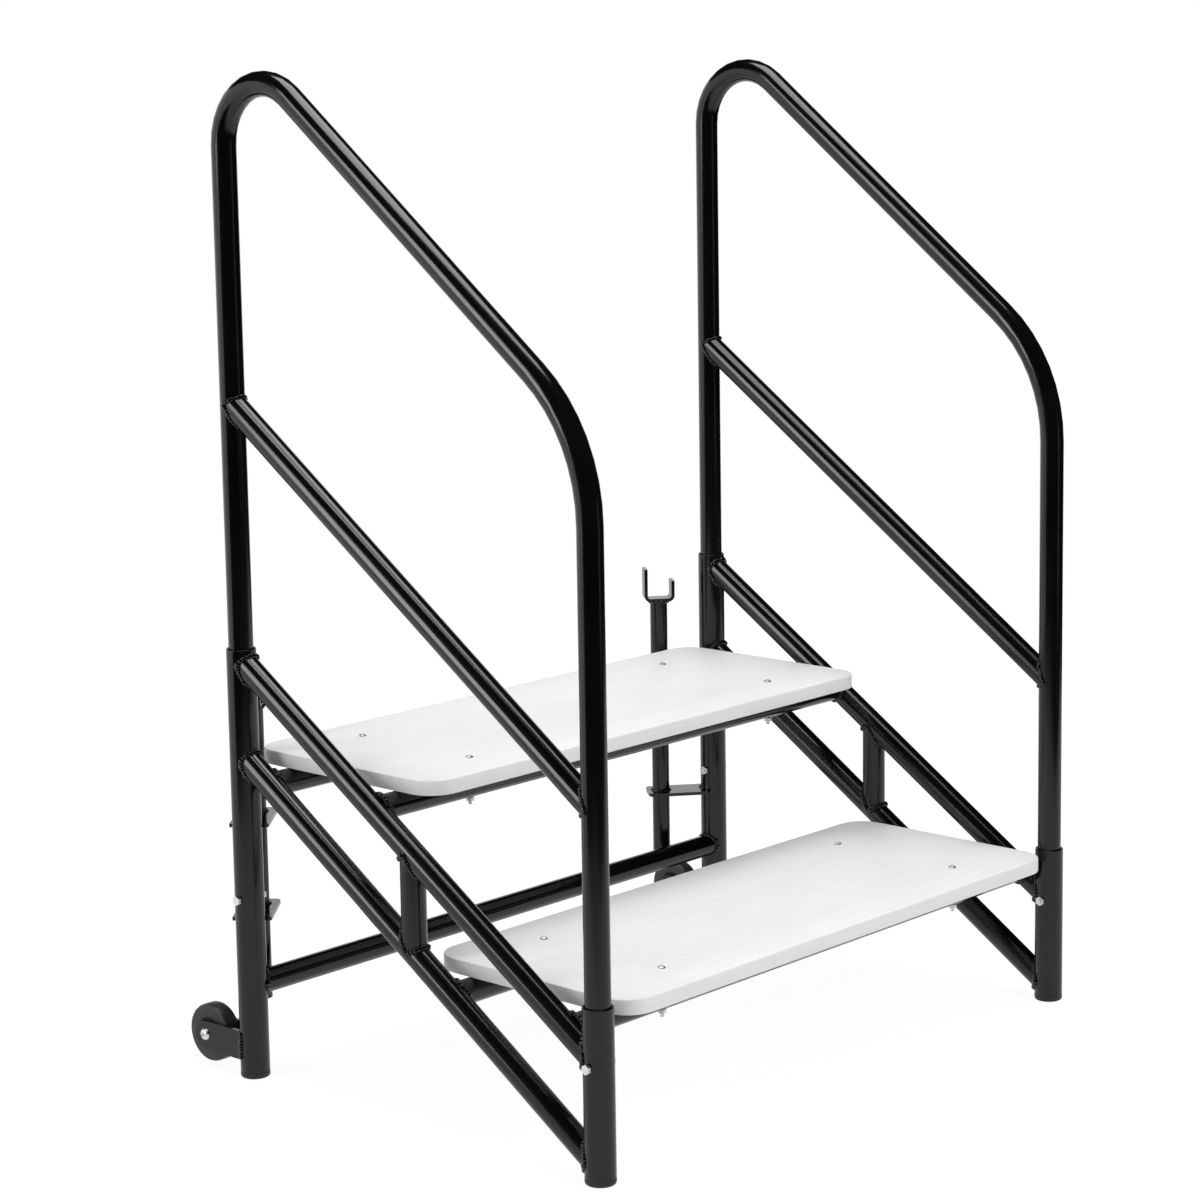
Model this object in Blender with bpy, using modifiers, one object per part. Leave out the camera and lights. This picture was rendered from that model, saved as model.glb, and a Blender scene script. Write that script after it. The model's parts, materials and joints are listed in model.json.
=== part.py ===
"""Two-step stage steps with handrails, tip-back wheels and stage hooks.

Metres. +X is to the right of someone climbing, +Y is towards the stage, +Z is up.
The origin is on the floor under the middle of the overall size. The pieces themselves
are laid out from the middle of the four legs, which lies a little in front of it.
"""

import math

import bmesh
import bpy
from mathutils import Matrix

# The frame. Its width is between the axes of the left and the right legs
FRAME_WIDTH = 0.9144
STEP_RISE = 0.2135
FRONT_LEG_ABOVE_STRINGER = 0.0690
REAR_LEG_ABOVE_STRINGER = 0.0138
UPPER_STRINGER_BELOW_SUPPORT = 0.003875
LOWER_STRINGER_ABOVE_SUPPORT = 0.002125

# Heights of each rail's axis where it meets the front and the rear leg axis
MID_RAIL_FRONT_Z = 0.4473
MID_RAIL_REAR_Z = 0.8754
HANDRAIL_FRONT_Z = 0.8812
HANDRAIL_REAR_Z = 1.3495

# Tubes
LEG_WALL = 0.0021
RAIL_OD = 0.03175
RAIL_WALL = 0.0018
POST_OD = 0.0254
POST_WALL = 0.0020
HANDRAIL_FRONT_BEND = 0.215
HANDRAIL_REAR_BEND = 0.0762
CROSS_TUBE_Z = 0.122
RAIL_BELOW_BOLT = 0.025

# Fits: what touches keeps the seat gap, what passes through a hole keeps the hole gap,
# a plug in a tube keeps the plug gap, and a handrail in a leg keeps the slip gap
SLIP_GAP = 0.001075
SEAT_GAP = 0.0003
HOLE_GAP = 0.0003
PLUG_GAP = 0.0006

# Foot plugs
FOOT_HEIGHT = 0.008
FOOT_ROUNDING = 0.003
FOOT_SPIGOT = 0.020

# Treads, and the tubes under them, which stop short of the stringers' axes
TREAD_END_GAP = 0.0127
TREAD_DEPTH = 0.3302
TREAD_OVERLAP = 0.0102
TREAD_PAST_LEG = 0.0221
TREAD_THICKNESS = 0.01905
TREAD_CORNER = 0.038
TREAD_EDGE_ROUNDING = 0.0015
SUPPORT_END_SHORT = 0.0060
TREAD_BOLT_FROM_END = 0.13045
TREAD_BOLT_FROM_EDGE = 0.0671

# Tread bolts with their nuts
TREAD_BOLT_SHANK = 0.0048
TREAD_BOLT_HEAD = 0.0105
TREAD_BOLT_DOME = 0.0024
TREAD_NUT_FLATS = 0.0095
TREAD_NUT_HEIGHT = 0.0045
TREAD_BOLT_TIP = 0.0048

# Bolts through each leg and the handrail inside it
RAIL_BOLT_SHANK = 0.00635
RAIL_BOLT_FLATS = 0.0111
RAIL_BOLT_HEAD = 0.0043
RAIL_NUT_HEIGHT = 0.0040
RAIL_BOLT_TIP = 0.0008
FRONT_RAIL_BOLT_Z = 0.1435
REAR_RAIL_BOLT_Z = 0.2375

# Wheels, each between two plates behind a rear leg
WHEEL_RADIUS = 0.0381
WHEEL_WIDTH = 0.022
WHEEL_SHOULDER = 0.0035
WHEEL_DISH = 0.0030
WHEEL_RIM_INNER = 0.0180
WHEEL_HUB_RADIUS = 0.0125
WHEEL_BEHIND_LEG = 0.01935
WHEEL_LIFT = 0.0059
AXLE_SHANK = 0.0095
AXLE_HEAD = 0.016
AXLE_HEAD_HEIGHT = 0.0045
AXLE_SOCKET_FLATS = 0.0055
AXLE_SOCKET_DEPTH = 0.0025
AXLE_NUT_FLATS = 0.0143
AXLE_NUT_HEIGHT = 0.0080
AXLE_TIP = 0.0020
WHEEL_SIDE_GAP = 0.0015
WHEEL_PLATE_HEIGHT = 0.0381
WHEEL_PLATE_DROP = 0.0013
WHEEL_PLATE_THICKNESS = 0.0048

# Hook posts, welded to each rear leg by two plates that point inboard and back.
# The left post, with its hook, sits this much lower than the right one
POST_INBOARD = 0.061
POST_BACK = 0.051
POST_BOTTOM_Z = 0.105
LEFT_POST_DROP = 0.024
HOOK_BASE_Z = 0.495
BRACKET_WIDTH = 0.0508
BRACKET_THICKNESS = 0.0048
BRACKET_ROUND_LEG = 0.006
BRACKET_PAST_POST = 0.0205
BRACKET_CORNER = 0.009
LOWER_BRACKET_Z = 0.2055
UPPER_BRACKET_Z = 0.3290
HOOK_WIDTH = 0.0254
HOOK_THICKNESS = 0.0048
HOOK_INNER_WIDTH = 0.0352
HOOK_TALL_ARM = 0.049
HOOK_SHORT_ARM = 0.031
HOOK_INNER_CORNER = 0.0045

# How finely round shapes are divided
TUBE_SIDES = 24
BORE_SIDES = 16
WHEEL_SIDES = 32
BOLT_SIDES = 16
FRONT_BEND_STEPS = 8
REAR_BEND_STEPS = 11
CORNER_STEPS = 6
SHARP_ANGLE = math.radians(35)
FLAT_ANGLE = math.radians(0.1)
WELD_DISTANCE = 0.000001
CUTTER_OVERRUN = 0.010

RAIL_RADIUS = RAIL_OD / 2
POST_RADIUS = POST_OD / 2
LEG_BORE = RAIL_RADIUS + SLIP_GAP
LEG_RADIUS = LEG_BORE + LEG_WALL
AXLE_BACK = LEG_RADIUS + WHEEL_BEHIND_LEG + WHEEL_RADIUS
AXLE_Z = WHEEL_LIFT + WHEEL_RADIUS
TREAD_LENGTH = FRAME_WIDTH - 2 * (LEG_RADIUS + TREAD_END_GAP)
TREAD_BOLT_X = TREAD_LENGTH / 2 - TREAD_BOLT_FROM_END
TREAD_BOLT_Y = TREAD_DEPTH / 2 - TREAD_BOLT_FROM_EDGE
STEP_GOING = TREAD_DEPTH - TREAD_OVERLAP
FRAME_DEPTH = STEP_GOING + TREAD_DEPTH - 2 * TREAD_PAST_LEG
HALF_DEPTH = FRAME_DEPTH / 2
FRONT_REACH = STEP_GOING / 2 + TREAD_DEPTH / 2
BACK_REACH = HALF_DEPTH + AXLE_BACK + WHEEL_RADIUS
SIDES = {"left": -1, "right": 1}

# The stringers rise with the steps and carry the support tubes, whose axes are at this
# height under the lower tread
SUPPORT_Z = STEP_RISE - TREAD_THICKNESS - SEAT_GAP - RAIL_RADIUS
STRINGER_SLOPE = STEP_RISE / STEP_GOING
FRONT_SUPPORT_TO_LEG = HALF_DEPTH - STEP_GOING / 2 - TREAD_BOLT_Y
REAR_SUPPORT_TO_LEG = HALF_DEPTH - STEP_GOING / 2 + TREAD_BOLT_Y
UPPER_STRINGER_FRONT_Z = (
    SUPPORT_Z - UPPER_STRINGER_BELOW_SUPPORT - STRINGER_SLOPE * FRONT_SUPPORT_TO_LEG
)
LOWER_STRINGER_FRONT_Z = (
    SUPPORT_Z + LOWER_STRINGER_ABOVE_SUPPORT - STRINGER_SLOPE * REAR_SUPPORT_TO_LEG
)
UPPER_STRINGER_REAR_Z = UPPER_STRINGER_FRONT_Z + STRINGER_SLOPE * FRAME_DEPTH
LOWER_STRINGER_REAR_Z = LOWER_STRINGER_FRONT_Z + STRINGER_SLOPE * FRAME_DEPTH
FRONT_LEG_TOP = UPPER_STRINGER_FRONT_Z + FRONT_LEG_ABOVE_STRINGER
REAR_LEG_TOP = UPPER_STRINGER_REAR_Z + REAR_LEG_ABOVE_STRINGER

BLACK_PAINT = ((0.012, 0.012, 0.013), 0.30, 0.0)
ZINC = ((0.72, 0.73, 0.74), 0.28, 1.0)
PALE_BOARD = ((0.80, 0.79, 0.80), 0.55, 0.0)
BLACK_RUBBER = ((0.030, 0.031, 0.032), 0.60, 0.0)


for leftover in list(bpy.data.objects):
    bpy.data.objects.remove(leftover)


def new_collection(name):
    made = bpy.data.collections.new(name)
    bpy.context.scene.collection.children.link(made)
    return made


PARTS = new_collection("stage_steps")
CUTTERS = new_collection("cutters")


def finish(obj, look):
    """Gives an object a material of its own."""
    colour, roughness, metallic = look
    material = bpy.data.materials.new(obj.name + "_finish")
    material.use_nodes = True
    shader = material.node_tree.nodes["Principled BSDF"]
    shader.inputs["Base Color"].default_value = (*colour, 1.0)
    shader.inputs["Roughness"].default_value = roughness
    shader.inputs["Metallic"].default_value = metallic
    obj.data.materials.append(material)


def add_part(name, mesh, look, parent=None, location=(0, 0, 0), rotation=(0, 0, 0)):
    """Links a named solid, placed by its location and rotation under its parent."""
    mesh.shade_smooth()
    mesh.set_sharp_from_angle(angle=SHARP_ANGLE)
    obj = bpy.data.objects.new(name, mesh)
    PARTS.objects.link(obj)
    obj.parent = parent
    obj.location = location
    obj.rotation_euler = rotation
    finish(obj, look)
    return obj


def add_cutter(name, mesh, parent=None, location=(0, 0, 0), rotation=(0, 0, 0)):
    obj = bpy.data.objects.new(name, mesh)
    CUTTERS.objects.link(obj)
    obj.parent = parent
    obj.location = location
    obj.rotation_euler = rotation
    obj.hide_render = True
    obj.display_type = "WIRE"
    return obj


def add_empty(name, location, parent=None):
    empty = bpy.data.objects.new(name, None)
    PARTS.objects.link(empty)
    empty.location = location
    empty.parent = parent
    return empty


def boolean(obj, other, operation="DIFFERENCE"):
    modifier = obj.modifiers.new(operation.lower() + "_" + other.name, "BOOLEAN")
    modifier.operation = operation
    modifier.solver = "EXACT"
    modifier.object = other


def mesh_from_curve(name, curve):
    """The curve as a closed mesh, with each cap welded to its sides and made one flat face."""
    holder = bpy.data.objects.new(name, curve)
    mesh = bpy.data.meshes.new_from_object(holder)
    bpy.data.objects.remove(holder)
    bpy.data.curves.remove(curve)
    mesh.name = name
    shape = bmesh.new()
    shape.from_mesh(mesh)
    bmesh.ops.remove_doubles(shape, verts=shape.verts, dist=WELD_DISTANCE)
    bmesh.ops.dissolve_limit(
        shape, angle_limit=FLAT_ANGLE, verts=shape.verts, edges=shape.edges
    )
    bmesh.ops.recalc_face_normals(shape, faces=shape.faces)
    shape.to_mesh(mesh)
    shape.free()
    return mesh


def rod_mesh(name, points, radius, sides=TUBE_SIDES):
    """A solid round bar along the points.

    It is turned by half a facet where it slopes, so that none of its edges
    meets an edge of an upright bar.
    """
    slopes = points[0][1] != points[-1][1] and points[0][2] != points[-1][2]
    curve = bpy.data.curves.new(name, "CURVE")
    curve.dimensions = "3D"
    curve.bevel_depth = radius
    curve.bevel_resolution = (sides - 4) // 2
    curve.use_fill_caps = True
    spline = curve.splines.new("POLY")
    spline.points.add(len(points) - 1)
    for point, place in zip(spline.points, points):
        point.co = (*place, 1.0)
        point.tilt = math.pi / sides if slopes else 0.0
    return mesh_from_curve(name, curve)


def outline_mesh(name, points, thickness):
    """A flat plate with this outline in its own XY plane, centred on its thickness."""
    curve = bpy.data.curves.new(name, "CURVE")
    curve.dimensions = "2D"
    curve.fill_mode = "BOTH"
    curve.extrude = thickness / 2
    spline = curve.splines.new("POLY")
    spline.points.add(len(points) - 1)
    for point, (x, y) in zip(spline.points, points):
        point.co = (x, y, 0.0, 1.0)
    spline.use_cyclic_u = True
    return mesh_from_curve(name, curve)


def prism_mesh(name, radius, length, sides):
    """A cylinder or a hexagon on the Z axis, centred on the origin, with flats across its axes."""
    shape = bmesh.new()
    bmesh.ops.create_cone(
        shape, cap_ends=True, segments=sides, radius1=radius, radius2=radius, depth=length,
        matrix=Matrix.Rotation(math.pi / sides, 4, "Z"),
    )
    mesh = bpy.data.meshes.new(name)
    shape.to_mesh(mesh)
    shape.free()
    return mesh


def hexagon_mesh(name, flats, height):
    return prism_mesh(name, flats / math.sqrt(3), height, 6)


def turn(obj, profile, closed, steps):
    """Fills the object's mesh with the profile and spins it round the Z axis."""
    edges = [(i, i + 1) for i in range(len(profile) - 1)]
    if closed:
        edges.append((len(profile) - 1, 0))
    obj.data.from_pydata([(radius, 0.0, z) for radius, z in profile], edges, [])
    screw = obj.modifiers.new("turn", "SCREW")
    screw.axis = "Z"
    screw.steps = steps
    screw.render_steps = steps
    screw.use_merge_vertices = True
    screw.merge_threshold = WELD_DISTANCE
    screw.use_smooth_shade = True


def arc(centre, radius, start, end, steps):
    """Points on a circle from one angle to another, both ends included."""
    return [
        (
            centre[0] + radius * math.cos(start + (end - start) * i / steps),
            centre[1] + radius * math.sin(start + (end - start) * i / steps),
        )
        for i in range(steps + 1)
    ]


def rounded_rectangle(width, height, corner):
    points = []
    for quarter, (sx, sy) in enumerate(((1, 1), (-1, 1), (-1, -1), (1, -1))):
        centre = (sx * (width / 2 - corner), sy * (height / 2 - corner))
        start = quarter * math.pi / 2
        points += arc(centre, corner, start, start + math.pi / 2, CORNER_STEPS)
    return points


def extended(points, extra):
    """The same path, run on past both of its ends."""
    def past(end, before):
        length = math.dist(end, before)
        return tuple(e + (e - b) * extra / length for e, b in zip(end, before))

    first = past(points[0], points[1])
    last = past(points[-1], points[-2])
    return [first] + list(points[1:-1]) + [last]


def add_tube(name, points, outer_radius, wall, parent, ends=()):
    """A black tube, open at both ends, which are shaped by the tubes they meet."""
    tube = add_part(name, rod_mesh(name, points, outer_radius), BLACK_PAINT, parent)
    for cutter in ends:
        boolean(tube, cutter)
    bore_path = extended(points, CUTTER_OVERRUN)
    bore = rod_mesh(name + "_bore", bore_path, outer_radius - wall, BORE_SIDES)
    boolean(tube, add_cutter(name + "_bore", bore, parent))
    return tube


def sloping(front_z, rear_z):
    """The ends of an axis that runs from the front leg axis to the rear one."""
    return [(0.0, -HALF_DEPTH, front_z), (0.0, HALF_DEPTH, rear_z)]


def upright(y, bottom, top):
    return [(0.0, y, bottom), (0.0, y, top)]


def handrail_path():
    """The bent handrail's axis, from inside the rear leg over the top and down into the front leg."""
    slope = math.atan2(HANDRAIL_REAR_Z - HANDRAIL_FRONT_Z, FRAME_DEPTH)
    rear_turn = math.pi / 2 + slope
    front_turn = math.pi - rear_turn
    rear_tangent = HANDRAIL_REAR_BEND * math.tan(rear_turn / 2)
    front_tangent = HANDRAIL_FRONT_BEND * math.tan(front_turn / 2)
    rear_centre = (HALF_DEPTH - HANDRAIL_REAR_BEND, HANDRAIL_REAR_Z - rear_tangent)
    front_centre = (HANDRAIL_FRONT_BEND - HALF_DEPTH, HANDRAIL_FRONT_Z - front_tangent)
    path = [(HALF_DEPTH, REAR_RAIL_BOLT_Z - RAIL_BELOW_BOLT)]
    path += arc(rear_centre, HANDRAIL_REAR_BEND, 0.0, rear_turn, REAR_BEND_STEPS)
    path += arc(front_centre, HANDRAIL_FRONT_BEND, rear_turn, math.pi, FRONT_BEND_STEPS)
    path += [(-HALF_DEPTH, FRONT_RAIL_BOLT_Z - RAIL_BELOW_BOLT)]
    return [(0.0, y, z) for y, z in path]


def outward(side):
    """Turns a piece whose top is +Z so that its top faces away from the other side frame."""
    return (0.0, side * math.pi / 2, 0.0)


def side_cutters(label, frame):
    """Bars along this side's tubes, one seat gap larger, that shape whatever meets them."""
    high = HANDRAIL_REAR_Z + CUTTER_OVERRUN
    low = -CUTTER_OVERRUN
    upper = sloping(UPPER_STRINGER_FRONT_Z, UPPER_STRINGER_REAR_Z)
    lower = sloping(LOWER_STRINGER_FRONT_Z, LOWER_STRINGER_REAR_Z)
    shapes = {
        "front_leg": (upright(-HALF_DEPTH, low, high), LEG_RADIUS),
        "rear_leg": (upright(HALF_DEPTH, low, high), LEG_RADIUS),
        "front_rail": (upright(-HALF_DEPTH, low, high), RAIL_RADIUS),
        "rear_rail": (upright(HALF_DEPTH, low, high), RAIL_RADIUS),
        "upper_stringer": (extended(upper, CUTTER_OVERRUN), RAIL_RADIUS),
        "lower_stringer": (extended(lower, CUTTER_OVERRUN), RAIL_RADIUS),
    }
    cutters = {}
    for kind, (points, radius) in shapes.items():
        name = f"{label}_{kind}_seat"
        mesh = rod_mesh(name, points, radius + SEAT_GAP)
        cutters[kind] = add_cutter(name, mesh, frame)
    for kind, y, z in (
        ("front_bolt", -HALF_DEPTH, FRONT_RAIL_BOLT_Z),
        ("rear_bolt", HALF_DEPTH, REAR_RAIL_BOLT_Z),
    ):
        name = f"{label}_{kind}_hole"
        hole = prism_mesh(name, RAIL_BOLT_SHANK / 2 + HOLE_GAP, 4 * LEG_RADIUS, BOLT_SIDES)
        cutters[kind] = add_cutter(name, hole, frame, (0.0, y, z), outward(1))
    return cutters


def build_side_frame(label, frame, cutters):
    """The legs, stringers and strut of one side frame, with the rails that slide into its legs."""
    bottom = FOOT_HEIGHT + SEAT_GAP
    for end, y, top in (("front", -HALF_DEPTH, FRONT_LEG_TOP), ("rear", HALF_DEPTH, REAR_LEG_TOP)):
        path = upright(y, bottom, top)
        leg = add_tube(f"{label}_{end}_leg", path, LEG_RADIUS, LEG_WALL, frame)
        boolean(leg, cutters[end + "_bolt"])

    upper = sloping(UPPER_STRINGER_FRONT_Z, UPPER_STRINGER_REAR_Z)
    lower = sloping(LOWER_STRINGER_FRONT_Z, LOWER_STRINGER_REAR_Z)
    for kind, path in (("upper_stringer", upper), ("lower_stringer", lower)):
        ends = (cutters["front_leg"], cutters["rear_leg"])
        add_tube(f"{label}_{kind}", path, RAIL_RADIUS, RAIL_WALL, frame, ends)

    middle_low = (LOWER_STRINGER_FRONT_Z + LOWER_STRINGER_REAR_Z) / 2
    middle_high = (UPPER_STRINGER_FRONT_Z + UPPER_STRINGER_REAR_Z) / 2
    strut_path = upright(0.0, middle_low, middle_high)
    ends = (cutters["lower_stringer"], cutters["upper_stringer"])
    add_tube(f"{label}_strut", strut_path, RAIL_RADIUS, RAIL_WALL, frame, ends)

    handrail = add_tube(f"{label}_handrail", handrail_path(), RAIL_RADIUS, RAIL_WALL, frame)
    boolean(handrail, cutters["front_bolt"])
    boolean(handrail, cutters["rear_bolt"])

    mid_path = sloping(MID_RAIL_FRONT_Z, MID_RAIL_REAR_Z)
    ends = (cutters["front_rail"], cutters["rear_rail"])
    add_tube(f"{label}_mid_rail", mid_path, RAIL_RADIUS, RAIL_WALL, frame, ends)


def build_feet(label, frame):
    """A plug in the foot of each leg, with a flange as wide as the tube."""
    spigot = LEG_BORE - PLUG_GAP
    rounding = arc(
        (LEG_RADIUS - FOOT_ROUNDING, FOOT_ROUNDING), FOOT_ROUNDING, 0.0, -math.pi / 2, 3
    )
    profile = [(0.0, FOOT_HEIGHT + FOOT_SPIGOT), (spigot, FOOT_HEIGHT + FOOT_SPIGOT)]
    profile += [(spigot, FOOT_HEIGHT), (LEG_RADIUS, FOOT_HEIGHT)]
    profile += rounding + [(0.0, 0.0)]
    for end, y in (("front", -HALF_DEPTH), ("rear", HALF_DEPTH)):
        name = f"{label}_{end}_foot"
        foot = add_part(name, bpy.data.meshes.new(name), BLACK_RUBBER, frame, (0.0, y, 0.0))
        turn(foot, profile, False, TUBE_SIDES)


def hex_bolt(name, shank, flats, head, length, frame, place, rotation):
    """A hexagon-headed bolt whose head bears on the plane z = 0 and whose shank runs down."""
    bolt = add_part(name, hexagon_mesh(name, flats, head), ZINC, frame, place, rotation)
    bolt.data.transform(shift(head / 2))
    shank_mesh = prism_mesh(name + "_shank", shank / 2, length + head / 2, BOLT_SIDES)
    shank_mesh.transform(shift(head / 4 - length / 2))
    boolean(bolt, add_cutter(name + "_shank", shank_mesh, frame, place, rotation), "UNION")
    return bolt


def shift(z):
    """A matrix that moves a mesh along its own Z axis."""
    return Matrix.Translation((0.0, 0.0, z))


def hex_nut(name, shank, flats, height, frame, place, rotation):
    """A nut whose upper face is on the plane z = 0."""
    mesh = hexagon_mesh(name, flats, height)
    mesh.transform(shift(-height / 2))
    nut = add_part(name, mesh, ZINC, frame, place, rotation)
    hole = prism_mesh(name + "_hole", shank / 2 + HOLE_GAP, 3 * height, BOLT_SIDES)
    boolean(nut, add_cutter(name + "_hole", hole, frame, place, rotation))
    return nut


def build_rail_bolts(label, side, frame):
    """A bolt through each leg and the rail inside it, head outboard and nut inboard."""
    seat = LEG_RADIUS + SEAT_GAP
    length = 2 * seat + RAIL_NUT_HEIGHT + RAIL_BOLT_TIP
    for end, y, z in (
        ("front", -HALF_DEPTH, FRONT_RAIL_BOLT_Z),
        ("rear", HALF_DEPTH, REAR_RAIL_BOLT_Z),
    ):
        hex_bolt(
            f"{label}_{end}_rail_bolt", RAIL_BOLT_SHANK, RAIL_BOLT_FLATS, RAIL_BOLT_HEAD,
            length, frame, (side * seat, y, z), outward(side),
        )
        hex_nut(
            f"{label}_{end}_rail_nut", RAIL_BOLT_SHANK, RAIL_BOLT_FLATS, RAIL_NUT_HEIGHT,
            frame, (-side * seat, y, z), outward(side),
        )


def build_hook(label, side, frame, cutters):
    """The post behind a rear leg, the two plates that hold it and the hook on its top."""
    heading = math.atan2(POST_BACK, POST_INBOARD)
    if side > 0:
        heading = math.pi - heading
    post_x = -side * POST_INBOARD
    post_y = HALF_DEPTH + POST_BACK
    drop = LEFT_POST_DROP if side < 0 else 0.0
    hook_z = HOOK_BASE_Z - drop
    path = [(post_x, post_y, POST_BOTTOM_Z - drop), (post_x, post_y, hook_z - SEAT_GAP)]
    add_tube(f"{label}_hook_post", path, POST_RADIUS, POST_WALL, frame)
    hole_mesh = rod_mesh(
        f"{label}_post_hole", extended(path, CUTTER_OVERRUN), POST_RADIUS + HOLE_GAP
    )
    hole = add_cutter(f"{label}_post_hole", hole_mesh, frame)

    half = BRACKET_WIDTH / 2
    near = LEG_RADIUS - BRACKET_ROUND_LEG
    far = math.hypot(POST_INBOARD, POST_BACK) + BRACKET_PAST_POST - BRACKET_CORNER
    outline = [(near, half), (near, -half)]
    outline += arc((far, BRACKET_CORNER - half), BRACKET_CORNER, -math.pi / 2, 0.0, CORNER_STEPS)
    outline += arc((far, half - BRACKET_CORNER), BRACKET_CORNER, 0.0, math.pi / 2, CORNER_STEPS)
    for level, z in (("lower", LOWER_BRACKET_Z), ("upper", UPPER_BRACKET_Z)):
        name = f"{label}_{level}_hook_bracket"
        mesh = outline_mesh(name, outline, BRACKET_THICKNESS)
        place = (0.0, HALF_DEPTH, z)
        bracket = add_part(name, mesh, BLACK_PAINT, frame, place, (0.0, 0.0, heading))
        boolean(bracket, cutters["rear_leg"])
        boolean(bracket, hole)

    inner = HOOK_INNER_WIDTH / 2
    outer = inner + HOOK_THICKNESS
    floor = HOOK_THICKNESS
    outer_corner = HOOK_INNER_CORNER + HOOK_THICKNESS
    outline = [(outer, HOOK_TALL_ARM), (inner, HOOK_TALL_ARM)]
    outline += arc(
        (inner - HOOK_INNER_CORNER, floor + HOOK_INNER_CORNER), HOOK_INNER_CORNER,
        0.0, -math.pi / 2, CORNER_STEPS,
    )
    outline += arc(
        (HOOK_INNER_CORNER - inner, floor + HOOK_INNER_CORNER), HOOK_INNER_CORNER,
        -math.pi / 2, -math.pi, CORNER_STEPS,
    )
    outline += [(-inner, HOOK_SHORT_ARM), (-outer, HOOK_SHORT_ARM)]
    outline += arc(
        (outer_corner - outer, outer_corner), outer_corner, math.pi, 1.5 * math.pi, CORNER_STEPS
    )
    outline += arc(
        (outer - outer_corner, outer_corner), outer_corner, -math.pi / 2, 0.0, CORNER_STEPS
    )
    name = f"{label}_hook"
    add_part(
        name, outline_mesh(name, outline, HOOK_WIDTH), BLACK_PAINT, frame,
        (post_x, post_y, hook_z), (math.pi / 2, 0.0, heading),
    )


def build_wheel(label, side, frame, cutters):
    """A wheel on its bolt between two plates that are welded to the rear leg."""
    axle = add_empty(f"{label}_axle", (0.0, HALF_DEPTH + AXLE_BACK, AXLE_Z), frame)
    half = WHEEL_WIDTH / 2
    web = half - WHEEL_DISH
    bore = AXLE_SHANK / 2 + HOLE_GAP
    shoulder = WHEEL_RADIUS - WHEEL_SHOULDER
    upper_half = [(bore, half), (WHEEL_HUB_RADIUS, half), (WHEEL_HUB_RADIUS + WHEEL_DISH, web)]
    upper_half += [(WHEEL_RIM_INNER, web), (WHEEL_RIM_INNER + WHEEL_DISH, half)]
    upper_half += arc((shoulder, half - WHEEL_SHOULDER), WHEEL_SHOULDER, math.pi / 2, 0.0, 2)
    lower_half = [(radius, -z) for radius, z in reversed(upper_half)]
    name = f"{label}_wheel"
    wheel = add_part(name, bpy.data.meshes.new(name), BLACK_RUBBER, axle, (0, 0, 0), outward(side))
    turn(wheel, upper_half + lower_half, True, WHEEL_SIDES)

    plate_x = half + WHEEL_SIDE_GAP + WHEEL_PLATE_THICKNESS / 2
    end_radius = WHEEL_PLATE_HEIGHT / 2
    outline = [
        (-AXLE_BACK, end_radius - WHEEL_PLATE_DROP), (-AXLE_BACK, -end_radius - WHEEL_PLATE_DROP)
    ]
    outline += arc(
        (0.0, -WHEEL_PLATE_DROP), end_radius, -math.pi / 2, math.pi / 2, 2 * CORNER_STEPS
    )
    hole_mesh = prism_mesh(f"{label}_axle_hole", bore, 3 * WHEEL_WIDTH, BOLT_SIDES)
    hole = add_cutter(f"{label}_axle_hole", hole_mesh, axle, (0, 0, 0), outward(1))
    for where, direction in (("outer", side), ("inner", -side)):
        name = f"{label}_wheel_plate_{where}"
        mesh = outline_mesh(name, outline, WHEEL_PLATE_THICKNESS)
        place = (direction * plate_x, 0.0, 0.0)
        plate = add_part(name, mesh, BLACK_PAINT, axle, place, (math.pi / 2, 0.0, math.pi / 2))
        boolean(plate, cutters["rear_leg"])
        boolean(plate, hole)

    face = plate_x + WHEEL_PLATE_THICKNESS / 2 + SEAT_GAP
    head_radius = AXLE_HEAD / 2
    shank_end = -2 * face - AXLE_NUT_HEIGHT - AXLE_TIP
    profile = [(0.0, AXLE_HEAD_HEIGHT)]
    profile += [
        (head_radius * math.sin(angle), AXLE_HEAD_HEIGHT * math.cos(angle))
        for angle in (math.radians(step) for step in (40, 60, 80, 90))
    ]
    profile += [(AXLE_SHANK / 2, 0.0), (AXLE_SHANK / 2, shank_end), (0.0, shank_end)]
    name = f"{label}_axle_bolt"
    place = (side * face, 0.0, 0.0)
    bolt = add_part(name, bpy.data.meshes.new(name), ZINC, axle, place, outward(side))
    turn(bolt, profile, False, BOLT_SIDES)
    socket = hexagon_mesh(name + "_socket", AXLE_SOCKET_FLATS, 2 * AXLE_SOCKET_DEPTH)
    socket.transform(shift(AXLE_HEAD_HEIGHT))
    boolean(bolt, add_cutter(name + "_socket", socket, axle, place, outward(side)))
    hex_nut(
        f"{label}_axle_nut", AXLE_SHANK, AXLE_NUT_FLATS, AXLE_NUT_HEIGHT,
        axle, (-side * face, 0.0, 0.0), outward(side),
    )


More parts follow.
